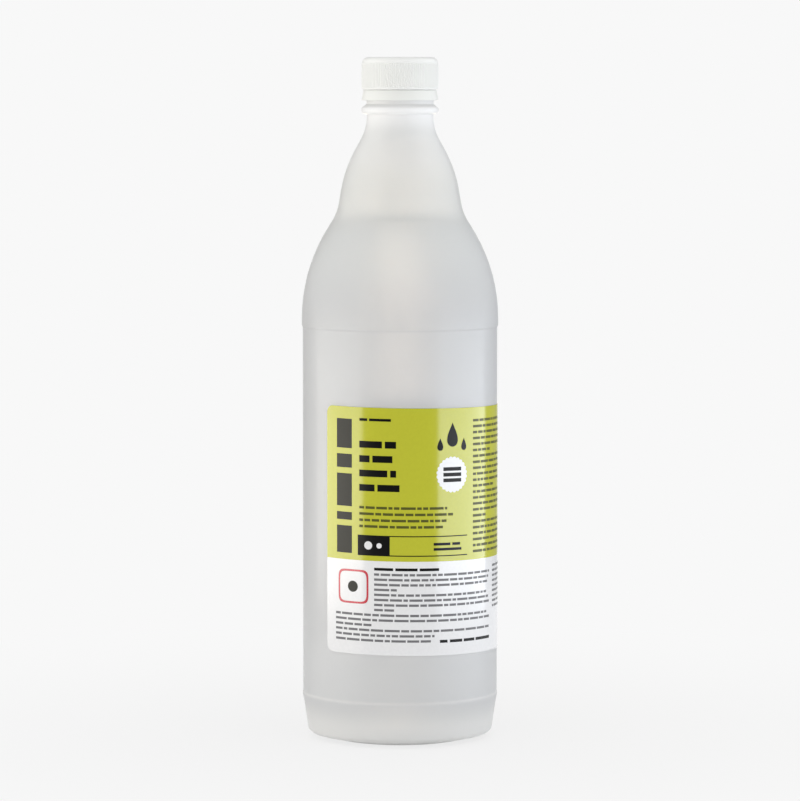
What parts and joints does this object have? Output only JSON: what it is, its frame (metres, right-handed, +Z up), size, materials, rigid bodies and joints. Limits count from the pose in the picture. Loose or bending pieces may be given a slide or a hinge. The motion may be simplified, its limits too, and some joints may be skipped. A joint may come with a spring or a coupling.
{
  "type": "vinegar bottle",
  "caption": "Tall round translucent plastic bottle of clear vinegar with a ribbed white screw closure and a wrap-round label.",
  "frame": {"origin": "centre of the standing ring, on the surface the bottle stands on", "axes": "+Z up through the closure; -Y is the label's front"},
  "size_m": [0.0818, 0.0818, 0.2827],
  "materials": {
    "natural_hdpe": "translucent natural polyethylene, satin",
    "vinegar": "clear, colourless liquid",
    "white_closure": "white moulded polyethylene, semi-gloss",
    "printed_film": "printed film, yellow-green over white"
  },
  "bodies": {
    "root": {"bottle": "natural_hdpe", "vinegar": "vinegar", "cap": "white_closure", "label": "printed_film"}
  },
  "joints": []
}
